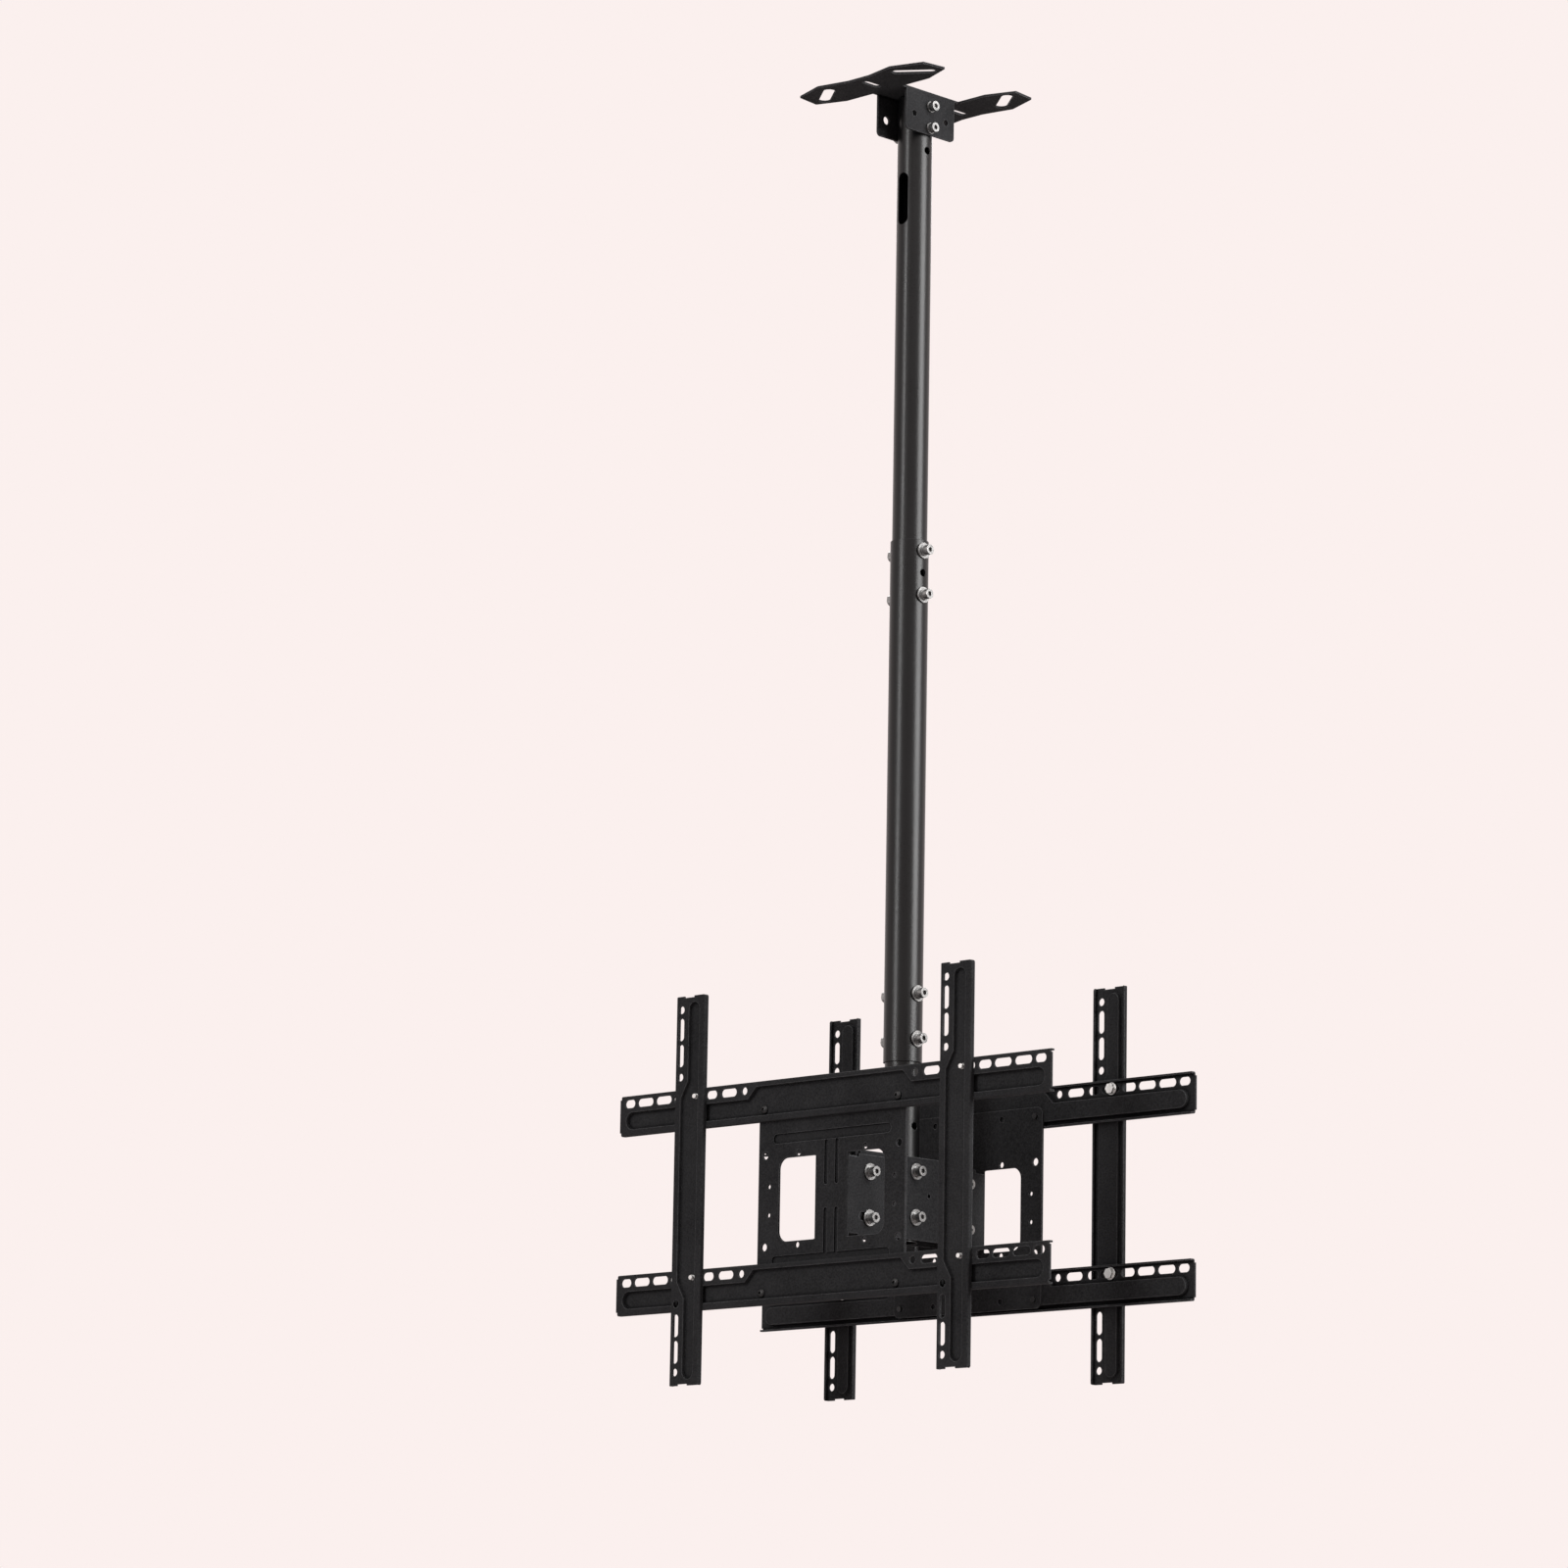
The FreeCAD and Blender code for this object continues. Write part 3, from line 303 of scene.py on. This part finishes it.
@dataclass(frozen=True)
class PowderCoat:
    """Black powder coat with a fine, hard grain that shows in its highlights."""

    name: str
    dark: Colour
    light: Colour
    # Paler colour of the edges: partly wear, partly painted highlight.
    edge: Colour
    roughness: float
    specular: float
    grain_height: float
    # Colour of the painted shade in inside corners and grooves.
    painted_shade_colour: Colour = linear(6, 6, 7)
    grain: Noise = Noise(520.0, 3.0, 0.62)
    cloud: Noise = Noise(11.0, 3.0)
    dust: Noise = Noise(95.0)
    # Pimples to a wave of grain, and the distances from a pimple's middle where it is full and gone.
    pimple_share: float = 1.35
    pimple_range: tuple[float, float] = (0.05, 0.55)
    # The tone's shares of grain, cloud and dust, and the sums that are dark and light.
    tone_shares: tuple[float, float, float] = (0.80, 0.35, 0.15)
    tone_range: tuple[float, float] = (0.42, 0.88)
    # How pale an edge is painted, partly as wear and partly as painted highlight, where there is no
    # dust, and what dust adds.
    rub_and_highlight_least: float = 0.35
    rub_and_highlight_dust: float = 0.5
    # How far the cloud, the grain and the edges change the roughness.
    cloud_sheen: float = 0.10
    grain_sheen: float = 0.16
    edge_sheen: float = 0.06
    # The grain's share of the relief. The pimples have the rest.
    relief_share: float = 0.6
    # Width and strength of the edges, and the share of the width over which they look rounded.
    edge_radius: float = 0.0013
    edge_strength: float = 3.4
    soft_share: float = 0.75
    # How far from an inside corner the painted shade reaches.
    painted_shade_reach: float = 0.0045

    def material(self) -> bpy.types.Material:
        """Builds the coat: grain, pimples, cloudy tone, edges painted paler as wear and as painted
        highlight, and painted shade in inside corners and grooves.
        """
        graph = Graph(bpy.data.materials.new(self.name))
        at = graph.place()
        grain = graph.cloud(at, self.grain)
        spots = graph.grains(at, self.grain.scale * self.pimple_share)
        pimples = 1.0 - spots.within(*self.pimple_range)
        cloud = graph.cloud(at, self.cloud)
        dust = graph.cloud(at, self.dust)
        of_grain, of_cloud, of_dust = self.tone_shares
        tone = (grain * of_grain + cloud * of_cloud + dust * of_dust).within(*self.tone_range)
        rim = graph.edges(self.edge_radius, self.edge_strength)
        # Mask of the painted shade: inside corners and grooves are darkened in the colour below.
        shade = graph.painted_shade_mask(self.painted_shade_reach)
        # Edges are painted paler, partly as wear and partly as painted highlight. The painted shade
        # keeps inside corners dark.
        rubbed_and_highlit = rim * (1.0 - shade) * (self.rub_and_highlight_least + dust * self.rub_and_highlight_dust)
        worn_and_highlit = graph.blend(rubbed_and_highlit, graph.blend(tone, self.dark, self.light), self.edge)
        rough = self.roughness + (cloud - NOISE_MIDDLE) * self.cloud_sheen
        rough = rough + (grain - NOISE_MIDDLE) * self.grain_sheen - rim * self.edge_sheen
        relief = grain * self.relief_share + pimples * (1.0 - self.relief_share)
        soft = graph.softened(self.edge_radius * self.soft_share)
        return graph.finish({
            # Painted shade: inside corners and grooves are darkened towards the shade colour.
            "Base Color": graph.blend(shade, worn_and_highlit, self.painted_shade_colour),
            "Roughness": rough,
            "Specular IOR Level": self.specular,
            "Normal": graph.bump(relief, self.grain_height, soft),
        })


@dataclass(frozen=True)
class ZincPlate:
    """Bright zinc plate on small steel parts: cloudy, finely speckled, and paler on its edges, partly
    as wear and partly as painted highlight.
    """

    name: str
    bright: Colour
    dull: Colour
    roughness: float
    cloud: Noise = Noise(160.0, 4.0, 0.6)
    speckle: Noise = Noise(1500.0)
    # The tarnish's shares of cloud and speckle, and the sums that are bright and dull.
    tarnish_shares: tuple[float, float] = (0.8, 0.3)
    tarnish_range: tuple[float, float] = (0.35, 0.80)
    # How far the cloud and the speckle change the roughness.
    cloud_sheen: float = 0.22
    speckle_sheen: float = 0.12
    # The speckle's share of the relief, of which the cloud has the rest, and the relief's height.
    relief_share: float = 0.5
    relief_height: float = 0.00005
    # Width and strength of the edges, how bright they are painted as wear and as painted highlight,
    # and how they look rounded.
    edge_radius: float = 0.0006
    edge_strength: float = 2.0
    edge_rub_and_highlight: float = 0.5
    soft_radius: float = 0.0005

    def material(self) -> bpy.types.Material:
        """Builds the plate."""
        graph = Graph(bpy.data.materials.new(self.name))
        at = graph.place()
        cloud = graph.cloud(at, self.cloud)
        speckle = graph.cloud(at, self.speckle)
        rim = graph.edges(self.edge_radius, self.edge_strength)
        of_cloud, of_speckle = self.tarnish_shares
        tarnish = (cloud * of_cloud + speckle * of_speckle).within(*self.tarnish_range)
        plate = graph.blend(tarnish, self.bright, self.dull)
        rough = self.roughness + (cloud - NOISE_MIDDLE) * self.cloud_sheen
        rough = rough + (speckle - NOISE_MIDDLE) * self.speckle_sheen
        relief = speckle * self.relief_share + cloud * (1.0 - self.relief_share)
        return graph.finish({
            # Edges are painted brighter, partly as wear and partly as painted highlight.
            "Base Color": graph.blend(rim * self.edge_rub_and_highlight, plate, self.bright),
            "Metallic": 1.0,
            "Roughness": rough,
            "Normal": graph.bump(relief, self.relief_height, graph.softened(self.soft_radius)),
        })


@dataclass(frozen=True)
class BlackOxide:
    """Oiled black screws, a little smoother than the coat round them."""

    name: str
    dark: Colour
    # Paler colour of the edges: partly wear, partly painted highlight.
    worn_and_highlit: Colour
    roughness: float
    specular: float = 0.4
    cloud: Noise = Noise(240.0, 3.0)
    # How far the cloud changes the roughness, and how high it stands.
    cloud_sheen: float = 0.2
    relief_height: float = 0.00004
    # Width and strength of the edges, and how they look rounded.
    edge_radius: float = 0.0005
    edge_strength: float = 2.4
    soft_radius: float = 0.0004

    def material(self) -> bpy.types.Material:
        """Builds the oxide, paler on its edges, partly as wear and partly as painted highlight."""
        graph = Graph(bpy.data.materials.new(self.name))
        cloud = graph.cloud(graph.place(), self.cloud)
        rim = graph.edges(self.edge_radius, self.edge_strength)
        return graph.finish({
            "Base Color": graph.blend(rim * cloud, self.dark, self.worn_and_highlit),
            "Roughness": self.roughness + (cloud - NOISE_MIDDLE) * self.cloud_sheen,
            "Specular IOR Level": self.specular,
            "Normal": graph.bump(cloud, self.relief_height, graph.softened(self.soft_radius)),
        })


class Finish(Enum):
    """The finishes of this mount, each made once and shared."""

    SHEET = PowderCoat("sheet_powder_coat", linear(24, 24, 25), linear(50, 50, 51),
                       linear(118, 118, 120), roughness=0.58, specular=0.02, grain_height=0.00034)
    TUBE = PowderCoat("tube_powder_coat", linear(4, 4, 4), linear(10, 10, 11),
                      linear(58, 58, 60), roughness=0.31, specular=0.28, grain_height=0.00010)
    ZINC = ZincPlate("zinc_plate", linear(168, 168, 167), linear(84, 84, 84), roughness=0.36)
    # A paler copy of the same zinc plate, for the bar screws and washers.
    BRIGHT = ZincPlate("bright_zinc_plate", linear(236, 236, 234), linear(196, 196, 194),
                       roughness=0.44)
    SCREW = BlackOxide("black_oxide", linear(16, 16, 17), linear(70, 70, 72), roughness=0.40)

    def material(self) -> bpy.types.Material:
        """Returns the finish's material, and builds it at the first call."""
        return bpy.data.materials.get(self.value.name) or self.value.material()


def dress(piece: bpy.types.Object, finish: Finish) -> None:
    """Gives every face of a piece one finish.

    Args:
        piece: The object.
        finish: Its finish.
    """
    piece.data.materials.clear()
    piece.data.materials.append(finish.material())


@dataclass(frozen=True)
class Span:
    """The box round one separate solid."""

    low: Vector
    high: Vector

    @property
    def middle(self) -> Vector:
        """Centre of the box."""
        return (self.low + self.high) / 2

    def tip(self, inward: Vector) -> Vector:
        """Finds the middle of the box's face at one end.

        Args:
            inward: The direction from that face into the box, along one axis.

        Returns:
            The face's middle.
        """
        spot = self.middle
        for axis, way in enumerate(inward):
            if way:
                spot[axis] = self.low[axis] if way > 0 else self.high[axis]
        return spot


def solids(piece: bpy.types.Object) -> list[Span]:
    """Finds the separate solids of a node.

    Args:
        piece: The node's object, which is left alone.

    Returns:
        One box for each solid.
    """
    mesh = bmesh.new()
    mesh.from_mesh(piece.data)
    bmesh.ops.remove_doubles(mesh, verts=mesh.verts, dist=WELD_REACH)
    # A dictionary keeps the order, so that every run finds the solids in the same one.
    left = dict.fromkeys(mesh.verts)
    spans = []
    while left:
        reached = [left.popitem()[0]]
        group = []
        while reached:
            vert = reached.pop()
            group.append(vert.co.copy())
            for edge in vert.link_edges:
                other = edge.other_vert(vert)
                if other in left:
                    del left[other]
                    reached.append(other)
        low = Vector([min(co[axis] for co in group) for axis in range(3)])
        high = Vector([max(co[axis] for co in group) for axis in range(3)])
        spans.append(Span(low, high))
    mesh.free()
    return spans


@dataclass(frozen=True)
class Thread:
    """One ridge wound round a shank's thinner end, as a rolled metric thread.

    The ridge's foot lies on the root radius and its flat top on the crest radius. Foot and top
    are half widths, and plain is the bare stretch at each end, all three as shares of the pitch.
    """

    root: float
    crest: float
    pitch: float
    reach: float
    foot: float = 0.42
    top: float = 0.08
    plain: float = 0.5
    steps_a_turn: int = 20

    def wind(self, mesh: bmesh.types.BMesh, tip: Vector, inward: Vector) -> None:
        """Adds the ridge to a mesh.

        Args:
            mesh: The mesh that takes it.
            tip: The middle of the shank's end face.
            inward: The direction from the tip along the shank.
        """
        across = Vector((0, 0, 1))
        turns = self.reach / self.pitch - 2 * self.plain
        first = tip + inward * self.pitch * self.plain
        profile = ((self.root, -self.foot), (self.crest, -self.top),
                   (self.crest, self.top), (self.root, self.foot))
        ring = [mesh.verts.new(first + across * radius + inward * self.pitch * shift)
                for radius, shift in profile]
        edges = [mesh.edges.new((ring[n], ring[n - 1])) for n in range(len(ring))]
        steps = int(turns * self.steps_a_turn)
        bmesh.ops.spin(mesh, geom=ring + edges, cent=tip, axis=inward, angle=math.tau * turns,
                       dvec=inward * self.pitch * turns / steps, steps=steps, use_duplicate=False)

    def piece(self, name: str, tips: Iterable[tuple[Vector, Vector]]) -> bpy.types.Object:
        """Makes one object of the threads of a group of bolts.

        Args:
            name: The object's name.
            tips: The tip and inward direction of each shank.

        Returns:
            The object, at the origin.
        """
        mesh = bmesh.new()
        for tip, inward in tips:
            self.wind(mesh, tip, inward)
        bmesh.ops.holes_fill(mesh, edges=[edge for edge in mesh.edges if edge.is_boundary])
        bmesh.ops.recalc_face_normals(mesh, faces=mesh.faces)
        data = bpy.data.meshes.new(name)
        mesh.to_mesh(data)
        mesh.free()
        piece = bpy.data.objects.new(name, data)
        bpy.context.scene.collection.objects.link(piece)
        return piece


# The threaded ends: the large bolts' past their nuts, the bar screws' in front of the channel.
BOLT_THREAD = Thread(root=0.00335, crest=0.0039, pitch=0.00125, reach=0.0030)
SCREW_THREAD = Thread(root=0.0024, crest=0.0029, pitch=0.0010, reach=0.0034)


@dataclass(frozen=True)
class Fasteners:
    """Bolts of one place with their washers and nuts, which share a name's first words."""

    group: str
    body: str
    nodes: dict[str, bpy.types.Object]

    def members(self) -> list[str]:
        """Names of the nodes of this group."""
        kinds = ("bolts", "washers", "spring_washers", "nuts")
        return [name for name in (f"{self.group}_{kind}" for kind in kinds) if name in self.nodes]

    def tips(self) -> list[tuple[Vector, Vector]]:
        """Finds each bolt's threaded end.

        Returns:
            The tip and the direction from it towards the head, for each bolt.
        """
        springs = [span.middle for span in solids(self.nodes[f"{self.group}_spring_washers"])]
        found = []
        for bolt in solids(self.nodes[f"{self.group}_bolts"]):
            seat = min(springs, key=lambda spot: (spot - bolt.middle).length)
            inward = Vector((math.copysign(1.0, seat.x - bolt.middle.x), 0, 0))
            found.append((bolt.tip(inward), inward))
        return found

    def build(self) -> None:
        """Adds the threads and dresses the group."""
        for name in self.members():
            dress(self.nodes[name], Finish.ZINC)
        tips = self.tips()
        threads = BOLT_THREAD.piece(f"{self.group}_bolt_threads", tips)
        dress(threads, Finish.ZINC)
        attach(threads, self.body)
        LOG.info("%s: %d nodes, %d threads", self.group, len(self.members()), len(tips))


@dataclass(frozen=True)
class CeilingGroup:
    """The bracket on the ceiling, the upper tube that hangs in it, and their bolts."""

    nodes: dict[str, bpy.types.Object]
    body: str = "ceiling"

    def build(self) -> None:
        """Dresses the bracket, the tube and their bolts."""
        dress(self.nodes["ceiling_bracket"], Finish.SHEET)
        dress(self.nodes["upper_tube"], Finish.TUBE)
        Fasteners("ceiling", self.body, self.nodes).build()


@dataclass(frozen=True)
class DropGroup:
    """The drop tube and the head tube with its two side plates, and all bolts through them."""

    nodes: dict[str, bpy.types.Object]
    body: str = "drop"
    joints: tuple[str, ...] = ("upper_joint", "lower_joint", "head", "front_tilt", "back_tilt")

    def build(self) -> None:
        """Dresses the tubes and plates and all their bolts."""
        for name in ("drop_tube", "head_tube"):
            dress(self.nodes[name], Finish.TUBE)
        for name in ("left_side_plate", "right_side_plate"):
            dress(self.nodes[name], Finish.SHEET)
        for joint in self.joints:
            Fasteners(joint, self.body, self.nodes).build()


@dataclass(frozen=True)
class ScreenBar:
    """One upright bar, with the two screws and washers that hold it in the rails' slots."""

    name: str
    nodes: dict[str, bpy.types.Object]

    def tips(self) -> list[tuple[Vector, Vector]]:
        """Finds each screw's threaded end, on the side that faces the screen.

        Returns:
            The tip and the direction from it towards the head, for each screw.
        """
        found = []
        for screw in solids(self.nodes[f"{self.name}_screws"]):
            inward = Vector((0, -math.copysign(1.0, screw.middle.y), 0))
            found.append((screw.tip(inward), inward))
        return found

    def build(self) -> None:
        """Dresses the bar and adds its screws' threads, which show in the pressed band."""
        dress(self.nodes[self.name], Finish.SHEET)
        for kind in ("screws", "washers"):
            dress(self.nodes[f"{self.name}_{kind}"], Finish.BRIGHT)
        tips = self.tips()
        threads = SCREW_THREAD.piece(f"{self.name}_screw_threads", tips)
        dress(threads, Finish.ZINC)
        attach(threads, self.name)
        LOG.info("%s: %d screws", self.name, len(tips))


@dataclass(frozen=True)
class TiltHead:
    """One head: its plate, two rails and their screws, and two upright bars."""

    side: str
    nodes: dict[str, bpy.types.Object]

    def build(self) -> None:
        """Dresses the head and builds its bars."""
        for part in ("plate", "upper_rail", "lower_rail"):
            dress(self.nodes[f"{self.side}_{part}"], Finish.SHEET)
        dress(self.nodes[f"{self.side}_rail_screws"], Finish.SCREW)
        for hand in ("left", "right"):
            ScreenBar(f"{self.side}_{hand}_bar", self.nodes).build()
        LOG.info("%s head dressed", self.side)


@dataclass(frozen=True)
class Softbox:
    """One soft lamp, placed by its turn about the mount from the camera's side, in degrees."""

    name: str
    turn: float
    rise: float
    distance: float
    width: float
    height: float
    power: float

    def build(self, aim: Vector, camera_turn: float) -> None:
        """Hangs the lamp and turns it to the mount.

        Args:
            aim: The point that it lights.
            camera_turn: The camera's own turn about the mount, in degrees.
        """
        around = math.radians(camera_turn + self.turn)
        lift = math.radians(self.rise)
        away = Vector((math.sin(around) * math.cos(lift), -math.cos(around) * math.cos(lift),
                       math.sin(lift)))
        lamp = bpy.data.lights.new(self.name, "AREA")
        lamp.shape = "RECTANGLE"
        lamp.size, lamp.size_y = self.width, self.height
        lamp.energy = self.power
        holder = bpy.data.objects.new(self.name, lamp)
        holder.location = aim + away * self.distance
        holder.rotation_euler = away.to_track_quat("Z", "Y").to_euler()
        bpy.context.scene.collection.objects.link(holder)


@dataclass(frozen=True)
class Studio:
    """Camera, lamps, world and floor. The camera stands below the heads and looks up.

    The camera's angles are in degrees. Its sensor is in millimetres, as Blender has it, and its
    focal length is in pixels of an image that is image_pixels wide.
    """

    camera_place: tuple[float, float, float] = (4.3288, -4.5475, -1.9592)
    camera_turn: float = 44.819
    camera_rise: float = -10.55
    camera_roll: float = 1.003
    camera_sight: float = 100.0
    sensor: float = 36.0
    focal_pixels: float = 5913.18
    image_pixels: float = 1600.0
    floor_depth: float = -2.6
    floor_reach: float = 30.0
    floor_sides: int = 96
    backdrop: Colour = linear(251, 240, 238)
    floor_colour: Colour = linear(214, 205, 204)
    # How much of the backdrop's light the camera sees in the floor, which keeps some shadow.
    floor_glow: float = 0.88
    # The share of the backdrop's light that reaches dull surfaces.
    fill_level: float = 0.27
    lamps: tuple[Softbox, ...] = (
        Softbox("key_right", turn=64.0, rise=17.0, distance=3.0, width=1.6, height=2.4, power=150.0),
        Softbox("fill_left", turn=-51.0, rise=12.0, distance=3.2, width=0.7, height=2.8, power=66.0),
        Softbox("behind", turn=172.0, rise=42.0, distance=3.4, width=2.0, height=2.0, power=50.0),
        Softbox("top_front", turn=10.0, rise=55.0, distance=3.6, width=2.4, height=2.4, power=50.0),
    )

    def place_camera(self) -> None:
        """Sets the camera at the place, turn and roll that match the view."""
        angles = (self.camera_turn, self.camera_rise, self.camera_roll)
        turn, rise, roll = (math.radians(angle) for angle in angles)
        right = Vector((math.cos(turn), math.sin(turn), 0))
        back = Vector((math.sin(turn) * math.cos(rise), -math.cos(turn) * math.cos(rise),
                       math.sin(rise)))
        up = back.cross(right)
        across = right * math.cos(roll) + up * math.sin(roll)
        upward = up * math.cos(roll) - right * math.sin(roll)
        data = bpy.data.cameras.new("camera")
        data.sensor_width = self.sensor
        data.sensor_fit = "HORIZONTAL"
        data.lens = self.sensor * self.focal_pixels / self.image_pixels
        data.clip_end = self.camera_sight
        camera = bpy.data.objects.new("camera", data)
        turned = Matrix((across, upward, back)).transposed().to_4x4()
        camera.matrix_world = Matrix.Translation(self.camera_place) @ turned
        bpy.context.scene.collection.objects.link(camera)
        bpy.context.scene.camera = camera

    def light_world(self) -> None:
        """Shows the pale backdrop to the eye and to reflections, and lights softly elsewhere."""
        graph = Graph(bpy.data.worlds.new("backdrop"))
        shiny = graph.combine("MAXIMUM", graph.ray("Is Glossy Ray"), graph.ray("Is Transmission Ray"))
        seen = graph.combine("MAXIMUM", graph.ray("Is Camera Ray"), shiny)
        level = graph.add("ShaderNodeMapRange", {}, {"Value": seen, "To Min": self.fill_level})
        light = graph.add("ShaderNodeBackground", {}, {"Color": self.backdrop, "Strength": level})
        graph.add("ShaderNodeOutputWorld", {}, {"Surface": light})
        bpy.context.scene.world = graph.owner

    def paint_floor(self) -> bpy.types.Material:
        """Makes the floor's paint: matt, and mostly the backdrop's own light to the camera."""
        graph = Graph(bpy.data.materials.new("floor_paint"))
        matt = graph.add("ShaderNodeBsdfDiffuse", {}, {"Color": self.floor_colour}, "BSDF")
        glow = graph.add("ShaderNodeEmission", {}, {"Color": self.backdrop, "Strength": 1.0},
                         "Emission")
        share = graph.ray("Is Camera Ray") * self.floor_glow
        mixed = graph.add("ShaderNodeMixShader", {}, {0: share, 1: matt, 2: glow}, "Shader")
        graph.add("ShaderNodeOutputMaterial", {}, {"Surface": mixed})
        return graph.owner

    def lay_floor(self) -> None:
        """Lays a wide pale floor far below, which keeps the mount's soft shadow."""
        mesh = bmesh.new()
        bmesh.ops.create_circle(mesh, cap_ends=True, segments=self.floor_sides,
                                radius=self.floor_reach)
        bmesh.ops.translate(mesh, verts=mesh.verts, vec=(0, 0, self.floor_depth))
        data = bpy.data.meshes.new("floor")
        mesh.to_mesh(data)
        mesh.free()
        floor = bpy.data.objects.new("floor", data)
        bpy.context.scene.collection.objects.link(floor)
        floor.data.materials.append(self.paint_floor())
        floor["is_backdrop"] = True

    def build(self, aim: Vector) -> None:
        """Sets up the whole studio.

        Args:
            aim: The point that the lamps face.
        """
        self.place_camera()
        self.light_world()
        self.lay_floor()
        for lamp in self.lamps:
            lamp.build(aim, self.camera_turn)
        bpy.context.scene.view_settings.view_transform = "Standard"
        LOG.info("studio: %d lamps", len(self.lamps))


def main() -> None:
    """Loads the frame, dresses each sub-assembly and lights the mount."""
    logging.basicConfig(level=logging.INFO, format="%(name)s %(message)s")
    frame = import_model()
    solid_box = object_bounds()
    nodes = frame["nodes"]
    CeilingGroup(nodes).build()
    DropGroup(nodes).build()
    for side in ("front", "back"):
        TiltHead(side, nodes).build()
    low, high = solid_box
    Studio().build((low + high) / 2)


if __name__ == "__main__":
    main()
